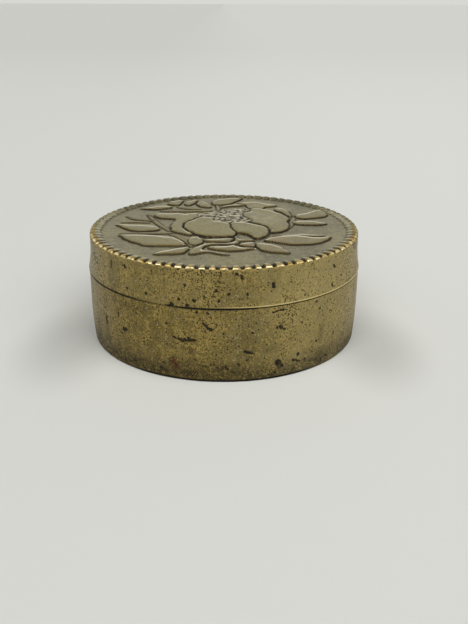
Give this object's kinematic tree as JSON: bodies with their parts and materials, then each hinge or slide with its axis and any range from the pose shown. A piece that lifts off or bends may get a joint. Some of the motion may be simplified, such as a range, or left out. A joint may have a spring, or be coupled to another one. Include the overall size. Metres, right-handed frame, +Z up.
{
  "type": "round lidded box",
  "caption": "Low round brass box with a lift-off lid that slips over an inner collar; the lid has a notched border round a flower spray in low relief.",
  "frame": {"origin": "middle of the flat underside, on the surface that the box stands on", "axes": "+Z up through the lid, -Y towards the front, where the foot of the flower's stem is, +X to the right as seen from the front"},
  "size_m": [0.0858, 0.0858, 0.034],
  "materials": {
    "aged_brass": "aged satin with fine pits",
    "lid_brass": "worn satin with dark chased lines",
    "inner_brass": "turned satin",
    "solder": "dull grey-gold"
  },
  "bodies": {
    "box": {"box_wall": "aged_brass", "base_plate": "aged_brass", "inner_collar": "inner_brass", "base_solder": "solder", "collar_solder": "solder"},
    "lid": {"lid_wall": "aged_brass", "lid_plate": "lid_brass", "lid_solder": "solder"}
  },
  "joints": [
    {"name": "lid_lift", "type": "slide", "parent": "box", "child": "lid", "axis": [0, 0, 1], "range_m": [0, 0.06]}
  ]
}
